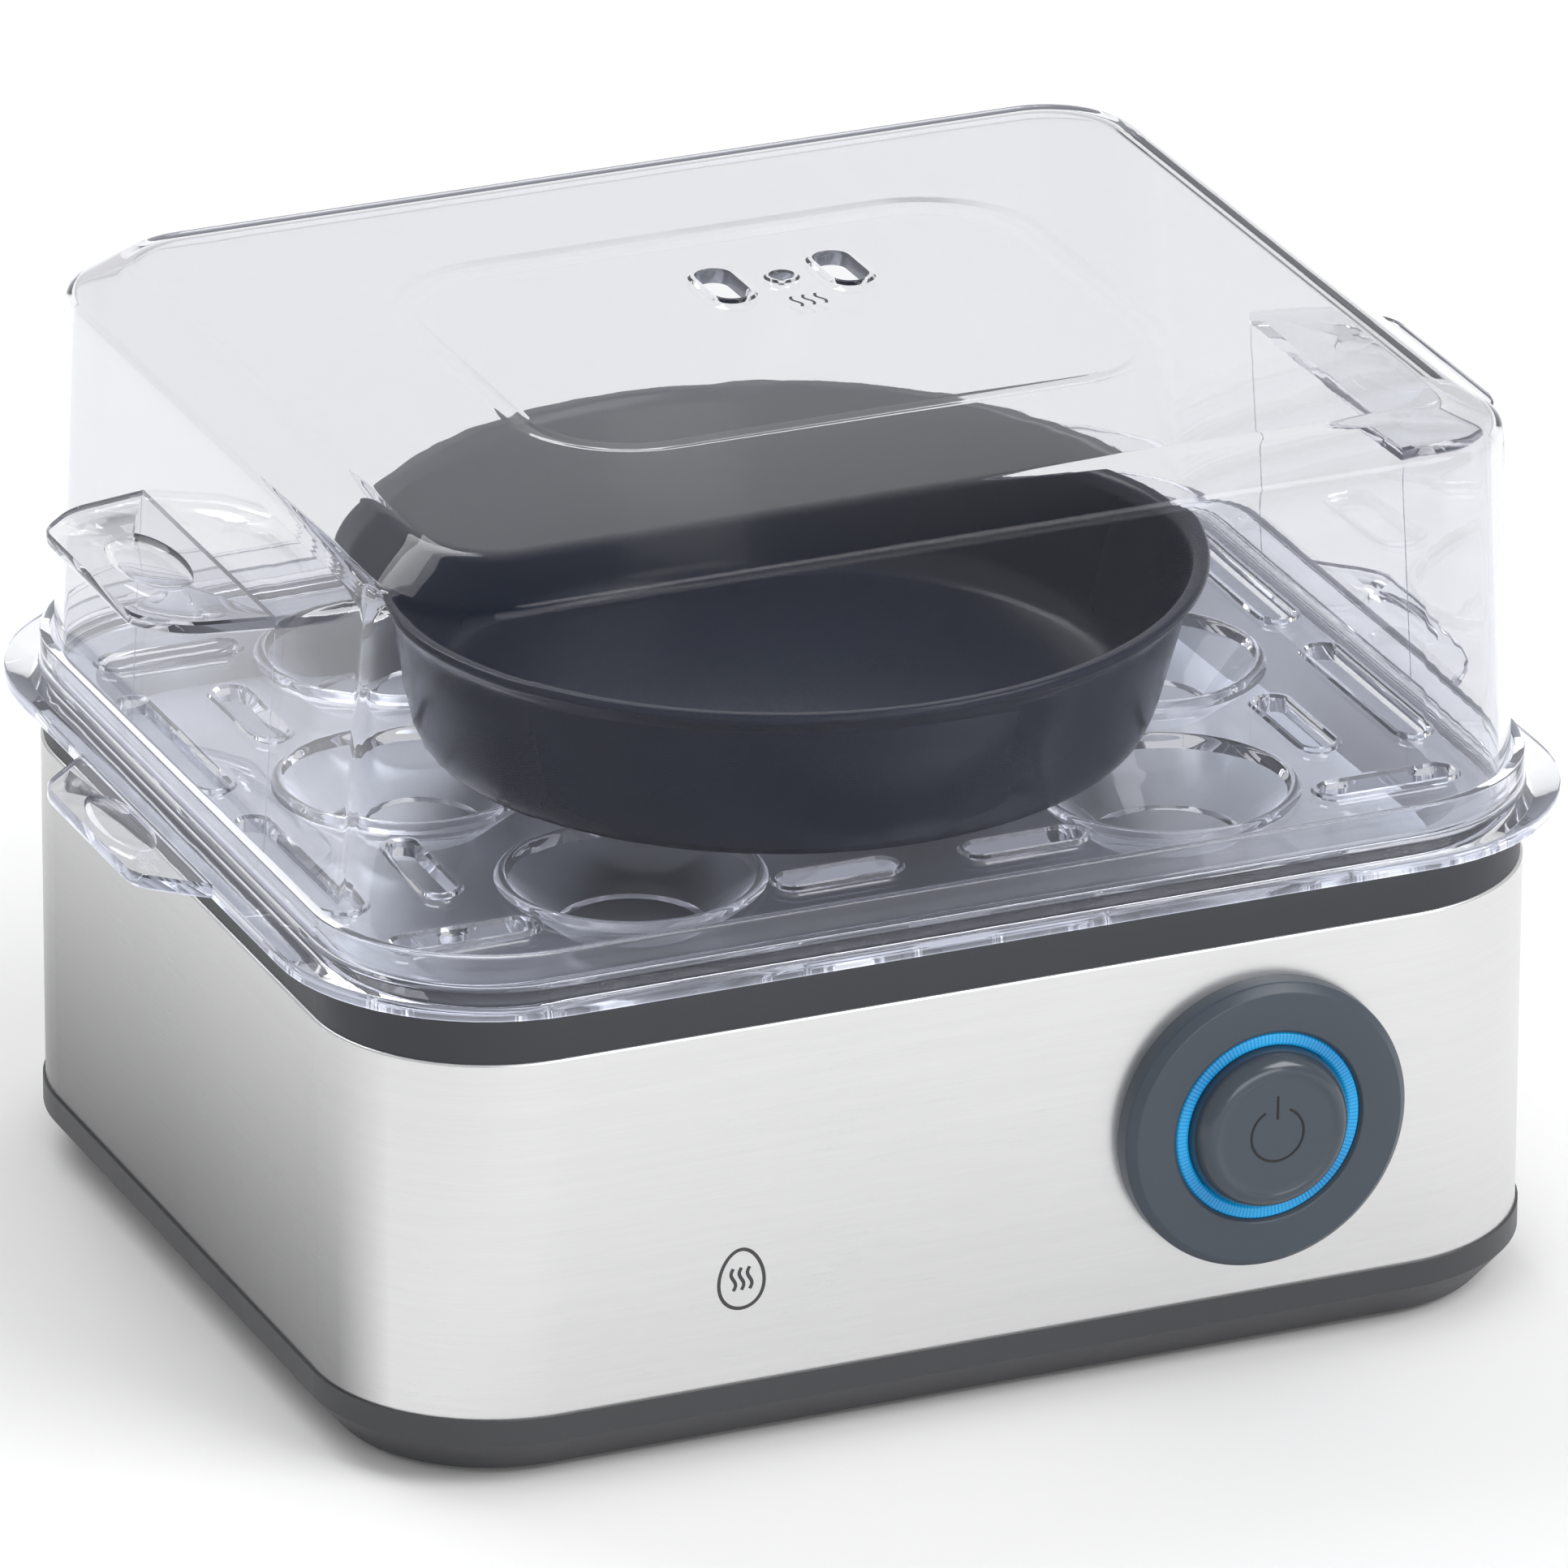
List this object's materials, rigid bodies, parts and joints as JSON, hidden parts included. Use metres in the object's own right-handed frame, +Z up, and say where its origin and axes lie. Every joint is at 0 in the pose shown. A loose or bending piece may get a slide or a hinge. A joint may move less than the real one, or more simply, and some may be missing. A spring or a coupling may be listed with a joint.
{
  "type": "egg cooker",
  "caption": "Electric egg cooker: brushed steel housing with a lit push button, heated water pan, clear egg tray, dark cooking bowl and clear steam lid that lift off.",
  "frame": {"origin": "on the surface that the feet stand on, under the middle of the body", "axes": "+X along the long side, +Z up, the push button is on the -Y face"},
  "size_m": [0.272, 0.2164, 0.1757],
  "materials": {
    "dark_plastic": "fine satin moulded polypropylene",
    "rubber": "matt",
    "steel": "zinc plated",
    "brushed_steel": "fine horizontal grain",
    "silicone": "translucent grey silicone",
    "pan_steel": "brushed",
    "aluminium": "cast",
    "element_steel": "heat tinted",
    "brass": "plain",
    "ceramic_white": "glazed ceramic",
    "white_plastic": "moulded",
    "wire_insulation": "silicone sleeve",
    "black_plastic": "moulded",
    "slate_plastic": "satin",
    "blue_light": "translucent, lit",
    "board_green": "printed circuit board",
    "led_lens": "clear",
    "gloss_slate": "gloss",
    "clear_tray": "clear polycarbonate",
    "bowl_navy": "semi-gloss non-stick",
    "clear_lid": "clear polycarbonate"
  },
  "bodies": {
    "base_unit": {"base_moulding": "dark_plastic", "rubber_feet": "rubber", "base_screws": "steel", "steel_sleeve": "brushed_steel", "upper_collar": "dark_plastic", "pan_gasket": "silicone", "water_pan": "pan_steel", "heat_spreader": "aluminium", "stud_nuts": "steel", "heating_element": "element_steel", "element_terminals": "brass", "thermostat": "ceramic_white", "thermostat_strap": "steel", "thermal_cutout": "aluminium", "terminal_block": "white_plastic", "terminal_screws": "brass", "earth_lug": "brass", "internal_wires": "wire_insulation", "cord_gland": "black_plastic", "button_bezel": "slate_plastic", "bezel_ring_nut": "black_plastic", "light_ring": "blue_light", "led_board": "board_green", "leds": "led_lens", "switch_bracket": "black_plastic", "switch_body": "black_plastic", "button_spring": "steel"},
    "button": {"button_cap": "gloss_slate", "switch_plunger": "white_plastic"},
    "tray": {"egg_tray": "clear_tray"},
    "bowl": {"cooking_bowl": "bowl_navy"},
    "lid": {"steam_lid": "clear_lid"}
  },
  "joints": [
    {"name": "tray_lift", "type": "slide", "parent": "base_unit", "child": "tray", "axis": [0, 0, 1], "range_m": [0, 0.12]},
    {"name": "lid_lift", "type": "slide", "parent": "tray", "child": "lid", "axis": [0, 0, 1], "range_m": [0, 0.26]},
    {"name": "bowl_lift", "type": "slide", "parent": "tray", "child": "bowl", "axis": [0, 0, 1], "range_m": [0, 0.118]},
    {"name": "button_press", "type": "slide", "parent": "base_unit", "child": "button", "axis": [0, 1, 0], "range_m": [0, 0.0025], "stiffness_N_per_m": 400, "springref_m": -0.003, "deforming": ["button_spring"]}
  ],
  "couplings": [
    {"joint": "bowl_lift", "follows": "lid_lift", "ratio": 0.45}
  ]
}
